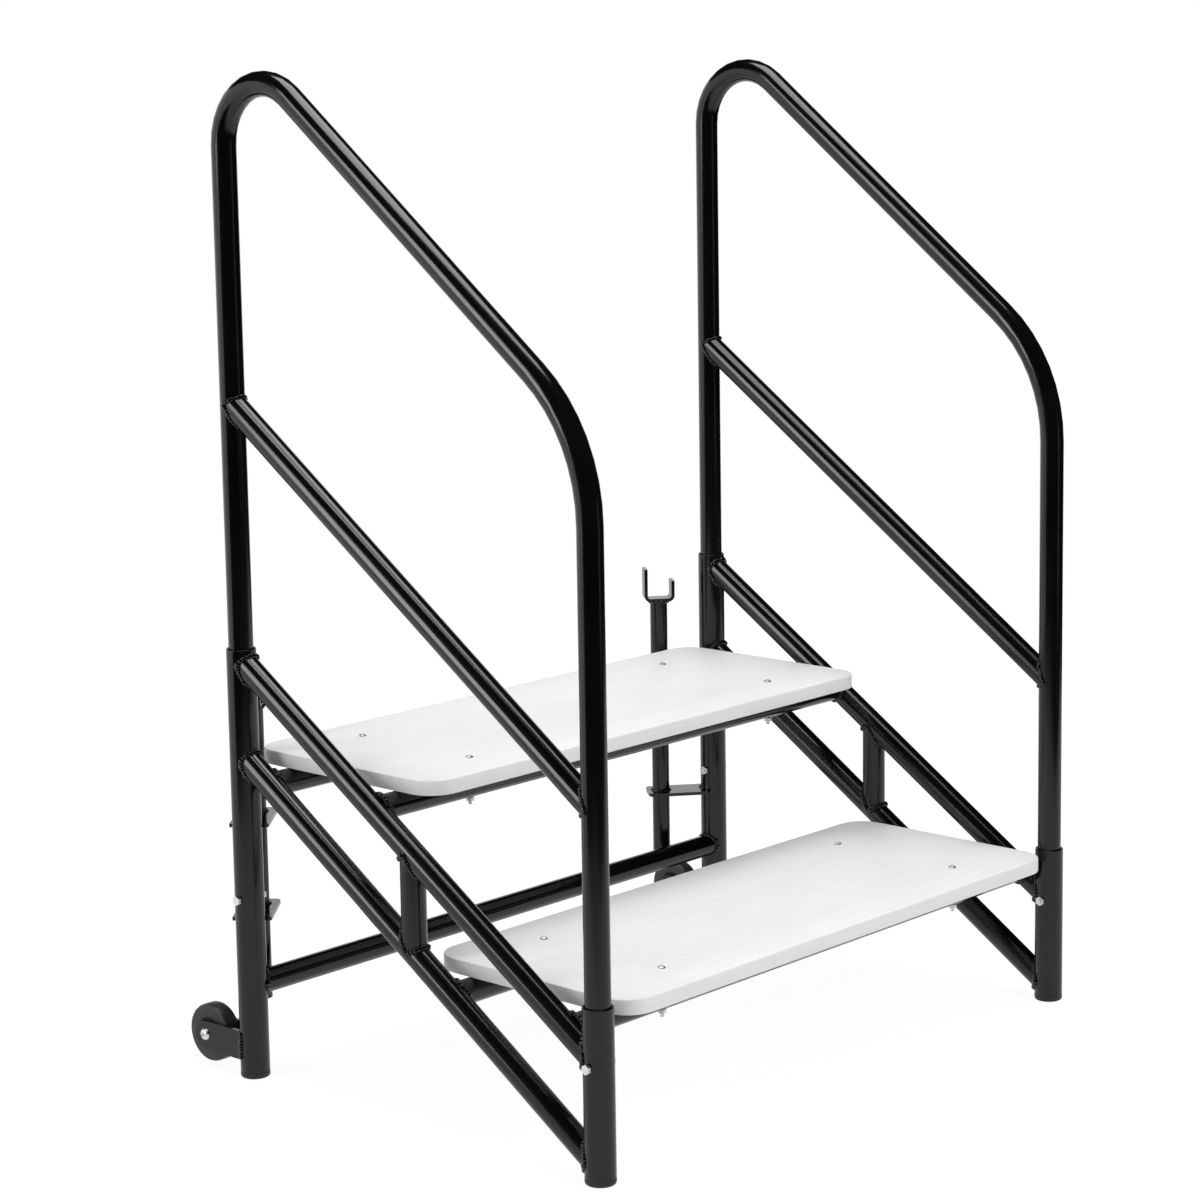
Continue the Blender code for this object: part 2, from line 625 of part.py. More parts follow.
def tread_bolt(name, middle, place):
    """A domed bolt with its nut, sized for the tread and the tube under it."""
    grip = TREAD_THICKNESS + RAIL_OD + 3 * SEAT_GAP
    tip = -grip - TREAD_NUT_HEIGHT - TREAD_BOLT_TIP
    radius = TREAD_BOLT_HEAD / 2
    profile = [(0.0, TREAD_BOLT_DOME)]
    profile += [
        (radius * math.sin(angle), TREAD_BOLT_DOME * math.cos(angle))
        for angle in (math.radians(step) for step in (35, 65, 90))
    ]
    profile += [(TREAD_BOLT_SHANK / 2, 0.0), (TREAD_BOLT_SHANK / 2, tip), (0.0, tip)]
    bolt = add_part(name, bpy.data.meshes.new(name), ZINC, middle, place)
    turn(bolt, profile, False, BOLT_SIDES)
    nut = hexagon_mesh(name + "_nut", TREAD_NUT_FLATS, TREAD_NUT_HEIGHT)
    nut.transform(shift(-grip - TREAD_NUT_HEIGHT / 2))
    boolean(bolt, add_cutter(name + "_nut", nut, middle, place), "UNION")


def build_step(label, middle, centre_y, top_z, stringers):
    """A tread, the two tubes under it and the four bolts that hold it."""
    name = f"{label}_tread"
    outline = rounded_rectangle(TREAD_LENGTH, TREAD_DEPTH, TREAD_CORNER)
    tread_z = top_z - TREAD_THICKNESS / 2
    mesh = outline_mesh(name, outline, TREAD_THICKNESS)
    tread = add_part(name, mesh, PALE_BOARD, middle, (0.0, centre_y, tread_z))
    bevel = tread.modifiers.new("edge_rounding", "BEVEL")
    bevel.width = TREAD_EDGE_ROUNDING
    bevel.segments = 2
    bevel.limit_method = "ANGLE"
    bevel.angle_limit = math.radians(45)

    support_z = top_z - STEP_RISE + SUPPORT_Z
    reach = FRAME_WIDTH / 2 - SUPPORT_END_SHORT
    hole_length = 2 * (TREAD_THICKNESS + RAIL_OD)
    for end, row, kind in (("front", -1, "upper_stringer"), ("rear", 1, "lower_stringer")):
        y = centre_y + row * TREAD_BOLT_Y
        path = [(-reach, y, support_z), (reach, y, support_z)]
        ends = [cutters[kind] for cutters in stringers.values()]
        support = add_tube(
            f"{label}_tread_{end}_support", path, RAIL_RADIUS, RAIL_WALL, middle, ends
        )
        for column, direction in SIDES.items():
            x = direction * TREAD_BOLT_X
            hole_name = f"{label}_{end}_{column}_bolt_hole"
            hole_mesh = prism_mesh(
                hole_name, TREAD_BOLT_SHANK / 2 + HOLE_GAP, hole_length, BOLT_SIDES
            )
            hole = add_cutter(hole_name, hole_mesh, middle, (x, y, support_z))
            boolean(support, hole)
            boolean(tread, hole)
            bolt_name = f"{label}_tread_bolt_{end}_{column}"
            tread_bolt(bolt_name, middle, (x, y, top_z + SEAT_GAP))


def build_cross_tube(middle, side_cuts):
    """The tube low down between the rear legs."""
    half = FRAME_WIDTH / 2
    path = [(-half, HALF_DEPTH, CROSS_TUBE_Z), (half, HALF_DEPTH, CROSS_TUBE_Z)]
    ends = [cutters["rear_leg"] for cutters in side_cuts.values()]
    add_tube("rear_cross_tube", path, RAIL_RADIUS, RAIL_WALL, middle, ends)


leg_middle = add_empty("leg_middle", (0.0, (FRONT_REACH - BACK_REACH) / 2, 0.0))
side_cuts = {}
for side_label, side_sign in SIDES.items():
    side_place = (side_sign * FRAME_WIDTH / 2, 0.0, 0.0)
    side_frame = add_empty(f"{side_label}_side", side_place, leg_middle)
    side_cuts[side_label] = side_cutters(side_label, side_frame)
    build_side_frame(side_label, side_frame, side_cuts[side_label])
    build_feet(side_label, side_frame)
    build_rail_bolts(side_label, side_sign, side_frame)
    build_hook(side_label, side_sign, side_frame, side_cuts[side_label])
    build_wheel(side_label, side_sign, side_frame, side_cuts[side_label])
build_cross_tube(leg_middle, side_cuts)
build_step("lower", leg_middle, -STEP_GOING / 2, STEP_RISE, side_cuts)
build_step("upper", leg_middle, STEP_GOING / 2, 2 * STEP_RISE, side_cuts)
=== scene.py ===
"""Stage steps: finishes, weld beads, studio light and the camera."""

import json
import math

import bmesh
import bpy
from mathutils import Matrix, Vector, noise


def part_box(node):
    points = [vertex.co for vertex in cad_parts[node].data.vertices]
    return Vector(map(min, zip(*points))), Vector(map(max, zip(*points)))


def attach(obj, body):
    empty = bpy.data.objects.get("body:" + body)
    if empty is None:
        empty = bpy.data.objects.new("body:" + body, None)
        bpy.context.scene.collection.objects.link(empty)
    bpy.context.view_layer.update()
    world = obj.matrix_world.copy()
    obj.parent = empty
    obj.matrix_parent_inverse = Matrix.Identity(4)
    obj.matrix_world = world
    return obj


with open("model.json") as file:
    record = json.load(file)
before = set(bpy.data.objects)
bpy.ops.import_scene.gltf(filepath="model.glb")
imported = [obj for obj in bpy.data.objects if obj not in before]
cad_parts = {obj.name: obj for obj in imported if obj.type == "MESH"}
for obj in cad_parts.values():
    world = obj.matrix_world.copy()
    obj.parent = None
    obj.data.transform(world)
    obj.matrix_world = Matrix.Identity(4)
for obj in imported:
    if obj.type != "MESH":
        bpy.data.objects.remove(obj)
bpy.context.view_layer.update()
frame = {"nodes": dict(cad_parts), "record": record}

# Metres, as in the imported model: +X right, +Y towards the stage, +Z up
UP = Vector((0, 0, 1))
TURN = 2 * math.pi
NODES = frame["nodes"]


# Places and sizes read from the frame

def middle(node):
    """The centre of a node's box at rest."""
    low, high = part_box(node)
    return Vector([(a + b) / 2 for a, b in zip(low, high)])


def tube_radius(node):
    """An upright tube's radius, from its width along X."""
    low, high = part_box(node)
    return (high[0] - low[0]) / 2


FRONT_Y = middle("right_front_leg").y
REAR_Y = middle("right_rear_leg").y
LEG_RADIUS = tube_radius("right_front_leg")
RAIL_RADIUS = tube_radius("right_strut")
POST_RADIUS = tube_radius("right_hook_post")
TREAD_TO_TREAD = middle("upper_tread_front_support") - middle("lower_tread_front_support")
STRINGER_SLOPE = TREAD_TO_TREAD.z / TREAD_TO_TREAD.y

# How far short of the stringer's axis a tread's support ends
SUPPORT_END = middle("right_front_leg").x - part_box("lower_tread_front_support")[1][0]

# What the boxes can't say: the mid rail's rise between the uprights' axes, and how near the
# leg's axis a bracket comes
MID_RAIL_RISE = 0.4281
BRACKET_NEAR = 0.01305

# The beads' radii, and the lengths of one ripple and of one step along a bead
BEAD = 0.0033
MID_RAIL_BEAD = 0.0027
BRACKET_BEAD = 0.0026
POST_BEAD = 0.0022
HOOK_BEAD = 0.0026
PLATE_BEAD = 0.0036
RIPPLE = 0.0042
BEAD_STEP = 0.0009

# A bead's section, ripples and lumps; the depths, lifts and taper are shares of its radius
BEAD_SIDES = 8
BEAD_WIDTH = 1.12
RIPPLE_DEPTH = 0.14
LUMP_DEPTH = 0.32
LUMPS_PER_METRE = 170
LUMP_OFFSET = (3.7, 1.3)
LIFT = 0.10
LUMP_LIFT = 0.16
END_TAPER = 1.6
END_LEAST = 0.06
CORNER_TILT = 0.8

# What a bead's place is multiplied by, so that each has its own lumps
SADDLE_SEED = (31, 17)
RING_SEED = 53
STRAIGHT_SEED = 41

# Points round a joint and round a ring, before they are spaced evenly
SADDLE_POINTS = 96
RING_POINTS = 72

# How the rings and the plates' beads sit
BRACKET_SHORT = 0.05
HOOK_WELD_LIFT = -0.6
HOOK_WELD_DROP = 0.0004
PLATE_WELD_OFF = 0.0004
PLATE_WELD_BACK = 0.0012
PLATE_WELD_SHORT = 0.00005
PLATE_WELD_TILT = 0.45

# The rounded rim of a leg's open top
RIM = 0.0009
RIM_SEGMENTS = (72, 10)

# Shading of the solids' faces
SMOOTH_ANGLE = math.radians(33)
MERGE_DISTANCE = 0.000002


# Finishes

def finish_of(name, roughness, metallic=0.0):
    """A material with its node tree and shader, and a coordinate that stays on the piece."""
    material = bpy.data.materials.new(name)
    material.use_nodes = True
    tree = material.node_tree
    shader = tree.nodes["Principled BSDF"]
    shader.inputs["Roughness"].default_value = roughness
    shader.inputs["Metallic"].default_value = metallic
    place = tree.nodes.new("ShaderNodeTexCoord").outputs["Object"]
    return material, tree, shader, place


def grain(tree, place, scale, detail=3.0, stretch=(1, 1, 1), rough=0.5):
    """Fractal noise over the piece, stretched along an axis where asked."""
    mapping = tree.nodes.new("ShaderNodeMapping")
    mapping.inputs["Scale"].default_value = stretch
    tree.links.new(place, mapping.inputs["Vector"])
    made = tree.nodes.new("ShaderNodeTexNoise")
    made.inputs["Scale"].default_value = scale
    made.inputs["Detail"].default_value = detail
    made.inputs["Roughness"].default_value = rough
    tree.links.new(mapping.outputs["Vector"], made.inputs["Vector"])
    return made.outputs["Fac"]


def ramp(tree, value, stops):
    """Colours at places between 0 and 1 of a value."""
    made = tree.nodes.new("ShaderNodeValToRGB")
    elements = made.color_ramp.elements
    while len(elements) < len(stops):
        elements.new(0.5)
    for element, (position, colour) in zip(elements, stops):
        element.position = position
        element.color = (*colour, 1.0)
    tree.links.new(value, made.inputs["Fac"])
    return made.outputs["Color"]


def spread(tree, value, source, target):
    """A value's range carried over to another range."""
    made = tree.nodes.new("ShaderNodeMapRange")
    for key, number in zip(("From Min", "From Max", "To Min", "To Max"), (*source, *target)):
        made.inputs[key].default_value = number
    tree.links.new(value, made.inputs["Value"])
    return made.outputs["Result"]


def add_bump(tree, shader, heights):
    """Bumps laid one over the other; each is (height, strength, distance in metres)."""
    normal = None
    for height, strength, distance in heights:
        made = tree.nodes.new("ShaderNodeBump")
        made.inputs["Strength"].default_value = strength
        made.inputs["Distance"].default_value = distance
        tree.links.new(height, made.inputs["Height"])
        if normal is not None:
            tree.links.new(normal, made.inputs["Normal"])
        normal = made.outputs["Normal"]
    tree.links.new(normal, shader.inputs["Normal"])


def powder_coat(name, lumpy):
    """Glossy black powder coat: a fine orange peel, and a slightly uneven gloss."""
    material, tree, shader, place = finish_of(name, roughness=0.18)
    shader.inputs["IOR"].default_value = 1.5
    broad = grain(tree, place, scale=14.0)
    peel = grain(tree, place, scale=820.0, detail=2.0, rough=0.55)
    pits = grain(tree, place, scale=1700.0, detail=1.0)
    colour = ramp(tree, broad, (
        (0.30, (0.0022, 0.0022, 0.0024)), (0.70, (0.0036, 0.0036, 0.0039)),
    ))
    tree.links.new(colour, shader.inputs["Base Color"])
    gloss = spread(tree, peel, source=(0.30, 0.70), target=(0.13, 0.18))
    tree.links.new(gloss, shader.inputs["Roughness"])
    heights = [(peel, 0.04, 0.00030), (pits, 0.03, 0.00010)]
    if lumpy:
        heights.insert(0, (grain(tree, place, scale=260.0, detail=2.0), 0.4, 0.0006))
    add_bump(tree, shader, heights)
    return material


def zinc_plate():
    """Bright zinc: a faint yellow and blue cast, fine scratches and duller patches."""
    material, tree, shader, place = finish_of("zinc_plate_bright", roughness=0.28, metallic=1.0)
    patches = grain(tree, place, scale=240.0)
    scratches = grain(tree, place, scale=900.0, detail=2.0, stretch=(1, 1, 7))
    colour = ramp(tree, patches, (
        (0.30, (0.82, 0.83, 0.83)), (0.52, (0.94, 0.94, 0.93)), (0.72, (0.88, 0.90, 0.93)),
    ))
    tree.links.new(colour, shader.inputs["Base Color"])
    gloss = spread(tree, patches, source=(0.30, 0.70), target=(0.30, 0.50))
    tree.links.new(gloss, shader.inputs["Roughness"])
    add_bump(tree, shader, [(scratches, 0.08, 0.00012)])
    return material


def tread_board():
    """Off-white painted board: a faint mottle, long soft grain and a fine tooth."""
    material, tree, shader, place = finish_of("tread_board_off_white", roughness=0.5)
    mottle = grain(tree, place, scale=9.0, detail=5.0, rough=0.62)
    lines = grain(tree, place, scale=150.0, stretch=(0.05, 1, 1))
    tooth = grain(tree, place, scale=1100.0, detail=2.0)
    mixed = tree.nodes.new("ShaderNodeMix")
    mixed.inputs["Factor"].default_value = 0.60
    tree.links.new(mottle, mixed.inputs["A"])
    tree.links.new(lines, mixed.inputs["B"])
    value = mixed.outputs["Result"]
    colour = ramp(tree, value, (
        (0.34, (0.765, 0.750, 0.760)), (0.52, (0.800, 0.787, 0.797)), (0.68, (0.825, 0.815, 0.822)),
    ))
    tree.links.new(colour, shader.inputs["Base Color"])
    gloss = spread(tree, value, source=(0.35, 0.65), target=(0.44, 0.60))
    tree.links.new(gloss, shader.inputs["Roughness"])
    add_bump(tree, shader, [(lines, 0.10, 0.00030), (tooth, 0.20, 0.00012)])
    return material


def dark_rubber(name, low, high, roughness):
    """Satin dark rubber or plastic: a moulded tooth, with scuffs that are a little paler."""
    material, tree, shader, place = finish_of(name, roughness)
    scuffs = grain(tree, place, scale=95.0, detail=5.0, rough=0.65)
    tooth = grain(tree, place, scale=1300.0, detail=2.0)
    colour = ramp(tree, scuffs, (
        (0.36, (low, low, low * 1.04)), (0.70, (high, high, high * 1.03)),
    ))
    tree.links.new(colour, shader.inputs["Base Color"])
    gloss = spread(tree, scuffs, source=(0.35, 0.70), target=(roughness - 0.08, roughness + 0.10))
    tree.links.new(gloss, shader.inputs["Roughness"])
    add_bump(tree, shader, [(scuffs, 0.35, 0.00040), (tooth, 0.22, 0.00012)])
    return material


PAINT = powder_coat("frame_powder_coat", lumpy=False)
WELD_PAINT = powder_coat("weld_powder_coat", lumpy=True)
LOOKS = {
    "frame_paint": PAINT,
    "zinc_plate": zinc_plate(),
    "tread_board": tread_board(),
    "wheel_rubber": dark_rubber("wheel_rubber_dark", low=0.016, high=0.030, roughness=0.46),
    "foot_plastic": dark_rubber("foot_plastic_dark", low=0.010, high=0.018, roughness=0.50),
}


def smooth_by_angle():
    """A modifier's nodes: shared corners are welded, round faces shaded smooth, edges kept."""
    group = bpy.data.node_groups.new("round_faces_smooth", "GeometryNodeTree")
    for direction in ("INPUT", "OUTPUT"):
        group.interface.new_socket(
            "Geometry", in_out=direction, socket_type="NodeSocketGeometry"
        )
    source = group.nodes.new("NodeGroupInput")
    result = group.nodes.new("NodeGroupOutput")
    plain = group.nodes.new("GeometryNodeRemoveAttribute")
    plain.inputs["Name"].default_value = "custom_normal"
    merge = group.nodes.new("GeometryNodeMergeByDistance")
    merge.inputs["Distance"].default_value = MERGE_DISTANCE
    angle = group.nodes.new("GeometryNodeInputMeshEdgeAngle")
    compare = group.nodes.new("FunctionNodeCompare")
    compare.data_type = "FLOAT"
    compare.operation = "LESS_EQUAL"
    compare.inputs["B"].default_value = SMOOTH_ANGLE
    faces = group.nodes.new("GeometryNodeSetShadeSmooth")
    faces.domain = "FACE"
    edges = group.nodes.new("GeometryNodeSetShadeSmooth")
    edges.domain = "EDGE"
    link = group.links.new
    link(source.outputs[0], plain.inputs["Geometry"])
    link(plain.outputs["Geometry"], merge.inputs["Geometry"])
    link(merge.outputs["Geometry"], faces.inputs["Geometry"])
    link(faces.outputs["Geometry"], edges.inputs["Geometry"])
    link(angle.outputs["Unsigned Angle"], compare.inputs["A"])
    link(compare.outputs["Result"], edges.inputs["Shade Smooth"])
    link(edges.outputs["Geometry"], result.inputs[0])
    return group


SMOOTH = smooth_by_angle()
for part in frame["record"]["subparts"]:
    node = NODES[part["node"]]
    node.data.materials.clear()
    node.data.materials.append(LOOKS[part["material_slot"]])
    modifier = node.modifiers.new("round_faces", "NODES")
    modifier.node_group = SMOOTH


# Weld beads and rims

def mesh_data(name, mesh, material):
    """A finished mesh as data with one material."""
    data = bpy.data.meshes.new(name)
    mesh.to_mesh(data)
    mesh.free()
    data.materials.append(material)
    return data


def bead(name, points, normals, closed, radius, seed):
    """A rippled weld bead along points. Each normal points out of the corner it fills."""
    count = len(points)
    steps = count if closed else count - 1
    lengths = [(points[(i + 1) % count] - points[i]).length for i in range(steps)]
    total = sum(lengths)
    ripples = max(2, round(total / RIPPLE))
    mesh = bmesh.new()
    rings = []
    length = 0.0
    for i, (point, normal) in enumerate(zip(points, normals)):
        if closed:
            along = points[(i + 1) % count] - points[i - 1]
        else:
            along = points[min(i + 1, count - 1)] - points[max(i - 1, 0)]
        along.normalize()
        out = (normal - along * normal.dot(along)).normalized()
        across = along.cross(out)
        wave = math.cos(TURN * ripples * length / total)
        lump = noise.noise(point * LUMPS_PER_METRE + Vector((seed, *LUMP_OFFSET)))
        size = radius * (1.0 + RIPPLE_DEPTH * wave + LUMP_DEPTH * lump)
        if not closed:
            end = min(length, total - length) / (END_TAPER * radius)
            size *= math.sqrt(max(END_LEAST, 1 - max(0.0, 1 - end) ** 2))
        centre = point + out * (LIFT * radius + LUMP_LIFT * radius * lump)
        rings.append([
            mesh.verts.new(centre + size * (math.cos(a) * out + BEAD_WIDTH * math.sin(a) * across))
            for a in (TURN * k / BEAD_SIDES for k in range(BEAD_SIDES))
        ])
        if i < steps:
            length += lengths[i]
    pairs = list(zip(rings, rings[1:])) + ([(rings[-1], rings[0])] if closed else [])
    for low, high in pairs:
        for k in range(BEAD_SIDES):
            after = (k + 1) % BEAD_SIDES
            mesh.faces.new((low[k], low[after], high[after], high[k]))
    if not closed:
        mesh.faces.new(rings[0])
        mesh.faces.new(rings[-1])
    bmesh.ops.recalc_face_normals(mesh, faces=mesh.faces)
    for face in mesh.faces:
        face.smooth = True
    made = bpy.data.objects.new(name, mesh_data(name, mesh, WELD_PAINT))
    bpy.context.scene.collection.objects.link(made)
    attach(made, "frame")


def evenly(points, normals, closed):
    """The same path in steps of one length, so that its ripples are even."""
    chain = list(zip(points, normals))
    if closed:
        chain.append(chain[0])
    lengths = [0.0]
    for (a, _), (b, _) in zip(chain, chain[1:]):
        lengths.append(lengths[-1] + (b - a).length)
    total = lengths[-1]
    count = max(4, round(total / BEAD_STEP))
    out_points, out_normals = [], []
    at = 0
    for k in range(count if closed else count + 1):
        s = total * k / count
        while at < len(lengths) - 2 and lengths[at + 1] < s:
            at += 1
        span = lengths[at + 1] - lengths[at] or 1.0
        t = (s - lengths[at]) / span
        out_points.append(chain[at][0].lerp(chain[at + 1][0], t))
        out_normals.append(chain[at][1].lerp(chain[at + 1][1], t).normalized())
    return out_points, out_normals


def saddle(name, start, direction, other_direction, other_radius, size=BEAD, least=0.0, other=None):
    """The bead round a rail that ends on the side of another tube, at least this far along it.

    The other tube's axis passes through the rail's start unless it is given.
    """
    d = Vector(direction).normalized()
    u = Vector(other_direction).normalized()
    start = Vector(start)
    other = start if other is None else Vector(other)
    e1 = d.orthogonal().normalized()
    e2 = d.cross(e1)
    points, normals = [], []
    for k in range(SADDLE_POINTS):
        a = TURN * k / SADDLE_POINTS
        off = math.cos(a) * e1 + math.sin(a) * e2
        base = start + RAIL_RADIUS * off
        w = base - other
        w -= u * w.dot(u)
        f = d - u * d.dot(u)
        qa, qb, qc = f.dot(f), w.dot(f), w.dot(w) - other_radius**2
        t = max(least, (-qb + math.sqrt(max(0.0, qb * qb - qa * qc))) / qa)
        point = base + t * d
        side = point - other
        side = (side - u * side.dot(u)).normalized()
        points.append(point)
        normals.append((off + CORNER_TILT * side).normalized())
    points, normals = evenly(points, normals, True)
    bead(name, points, normals, True, size, start.x * SADDLE_SEED[0] + start.z * SADDLE_SEED[1])


def ring(name, centre, radius, lift, size, low=0.0, high=TURN):
    """A bead round an upright tube, above or below a plate, over part of a turn or all of it."""
    whole = high - low >= TURN
    points, normals = [], []
    for k in range(RING_POINTS if whole else RING_POINTS + 1):
        a = low + (high - low) * k / RING_POINTS
        out = Vector((math.cos(a), math.sin(a), 0.0))
        points.append(Vector(centre) + radius * out)
        normals.append((out + UP * lift).normalized())
    points, normals = evenly(points, normals, whole)
    bead(name, points, normals, whole, size, centre[2] * RING_SEED)


def straight(name, start, end, normal, size):
    """A bead along a straight edge."""
    points, normals = evenly([Vector(start), Vector(end)], [Vector(normal)] * 2, False)
    bead(name, points, normals, False, size, start[2] * STRAIGHT_SEED)


def rim(name, leg):
    """The rounded edge of a leg's open top."""
    place = middle(leg)
    bpy.ops.mesh.primitive_torus_add(
        major_segments=RIM_SEGMENTS[0], minor_segments=RIM_SEGMENTS[1],
        major_radius=LEG_RADIUS - RIM, minor_radius=RIM,
        location=(place.x, place.y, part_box(leg)[1][2]),
    )
    made = bpy.context.object
    made.name = name
    made.data.materials.append(PAINT)
    made.data.shade_smooth()
    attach(made, "frame")


def weld_side(word, side):
    """The rims and all the beads of one side frame, and of what ends on it."""
    x = middle(f"{word}_front_leg").x
    slope = Vector((0.0, 1.0, STRINGER_SLOPE))
    inwards = Vector((-side, 0, 0))

    def stringer_at(kind, y):
        axis = middle(f"{word}_{kind}_stringer")
        return Vector((x, y, axis.z + STRINGER_SLOPE * (y - axis.y)))

    for end in ("front", "rear"):
        rim(f"{word}_{end}_leg_rim", f"{word}_{end}_leg")
    for kind in ("upper", "lower"):
        for end, y, way in (("front", FRONT_Y, slope), ("rear", REAR_Y, -slope)):
            saddle(f"{word}_{kind}_stringer_{end}_weld", stringer_at(kind, y), way, UP, LEG_RADIUS)
    strut_y = middle(f"{word}_strut").y
    for end, kind, way in (("bottom", "lower", UP), ("top", "upper", -UP)):
        saddle(f"{word}_strut_{end}_weld", stringer_at(kind, strut_y), way, slope, RAIL_RADIUS)
    rail = Vector((0.0, REAR_Y - FRONT_Y, MID_RAIL_RISE))
    rail_middle = middle(f"{word}_mid_rail").z
    for end, y, way in (("front", FRONT_Y, 1), ("rear", REAR_Y, -1)):
        z = rail_middle - way * MID_RAIL_RISE / 2
        saddle(f"{word}_mid_rail_{end}_weld", (x, y, z), way * rail, UP, RAIL_RADIUS, MID_RAIL_BEAD)
    cross_z = middle("rear_cross_tube").z
    saddle(f"{word}_cross_tube_weld", (x, REAR_Y, cross_z), inwards, UP, LEG_RADIUS)
    for tread in ("lower", "upper"):
        for end, kind in (("front", "upper"), ("rear", "lower")):
            support = f"{tread}_tread_{end}_support"
            _, y, z = middle(support)
            saddle(f"{support}_{word}_weld", (x, y, z), inwards, slope, RAIL_RADIUS,
                   least=SUPPORT_END, other=stringer_at(kind, y))

    post = middle(f"{word}_hook_post")
    heading = math.atan2(post.y - REAR_Y, post.x - x)
    reach = math.acos(BRACKET_NEAR / LEG_RADIUS) - BRACKET_SHORT
    for level in ("lower", "upper"):
        low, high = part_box(f"{word}_{level}_hook_bracket")
        for where, lift, face in (("top", 1, high[2]), ("bottom", -1, low[2])):
            ring(f"{word}_{level}_bracket_leg_{where}_weld", (x, REAR_Y, face), LEG_RADIUS, lift,
                 BRACKET_BEAD, heading - reach, heading + reach)
            ring(f"{word}_{level}_bracket_post_{where}_weld", (post.x, post.y, face), POST_RADIUS,
                 lift, POST_BEAD)
    hook_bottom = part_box(f"{word}_hook")[0][2]
    ring(f"{word}_hook_weld", (post.x, post.y, hook_bottom - HOOK_WELD_DROP), POST_RADIUS,
         HOOK_WELD_LIFT, HOOK_BEAD)
    for where, way in (("outer", side), ("inner", -side)):
        low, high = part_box(f"{word}_wheel_plate_{where}")
        off = max(abs(low[0] - x), abs(high[0] - x)) + PLATE_WELD_OFF
        y = REAR_Y + math.sqrt(LEG_RADIUS**2 - off**2) - PLATE_WELD_BACK
        straight(f"{word}_wheel_plate_{where}_weld",
                 (x + way * off, y, low[2] + PLATE_WELD_SHORT),
                 (x + way * off, y, high[2] - PLATE_WELD_SHORT),
                 (way, PLATE_WELD_TILT, 0), PLATE_BEAD)


for word, side in (("left", -1), ("right", 1)):
    weld_side(word, side)


# Studio

WORLD_LEVEL = 0.42

# The floor: its extent, its grey for light, its grey for the camera, and its glow to the camera
FLOOR_X = (-1.9, 2.6)
FLOOR_Y = (-1.75, 3.2)
FLOOR_Z = -0.0006
FLOOR_PAPER = 0.80
FLOOR_FAINT = 0.12
FLOOR_GLOW = 0.93

# What reflections see of the floor is a painted glow, not lit paper: it fades towards the camera,
# over this distance from the origin
FADE_WAY = (-0.75, -0.66, 0.0)
FADE_RANGE = (1.2, 2.3)
FADE_LEVELS = (0.78, 0.12)

# The flags' sphere, its faces, and the window in it: degrees each side of +Y, and up to a height
FLAG_RADIUS = 9.0
FLAG_CENTRE_Z = 0.6
FLAG_COLUMNS, FLAG_ROWS = 72, 36
FLAG_OPEN_SIDE = 72
FLAG_OPEN_TOP = 22
FLAG_GREY = 0.006

LAMP_TARGET = Vector((0, 0, 0.65))


def stage_object(name, data):
    made = bpy.data.objects.new(name, data)
    bpy.context.scene.collection.objects.link(made)
    return made


def seen_directly(tree):
    """1 for a camera, glossy or transmission ray."""
    path = tree.nodes.new("ShaderNodeLightPath")
    value = path.outputs["Is Camera Ray"]
    for key in ("Is Glossy Ray", "Is Transmission Ray"):
        made = tree.nodes.new("ShaderNodeMath")
        made.operation = "MAXIMUM"
        tree.links.new(value, made.inputs[0])
        tree.links.new(path.outputs[key], made.inputs[1])
        value = made.outputs["Value"]
    return value


def build_world():
    """White where it is seen directly, and a dimmer light elsewhere."""
    world = bpy.data.worlds.new("studio")
    bpy.context.scene.world = world
    world.use_nodes = True
    tree = world.node_tree
    tree.nodes.clear()
    mix = tree.nodes.new("ShaderNodeMixShader")
    for socket, level in ((1, WORLD_LEVEL), (2, 1.0)):
        light = tree.nodes.new("ShaderNodeBackground")
        light.inputs["Color"].default_value = (1, 1, 1, 1)
        light.inputs["Strength"].default_value = level
        tree.links.new(light.outputs[0], mix.inputs[socket])
    out = tree.nodes.new("ShaderNodeOutputWorld")
    tree.links.new(seen_directly(tree), mix.inputs["Fac"])
    tree.links.new(mix.outputs[0], out.inputs["Surface"])


def matt(tree, grey):
    made = tree.nodes.new("ShaderNodeBsdfDiffuse")
    made.inputs["Color"].default_value = (grey, grey, grey, 1)
    return made


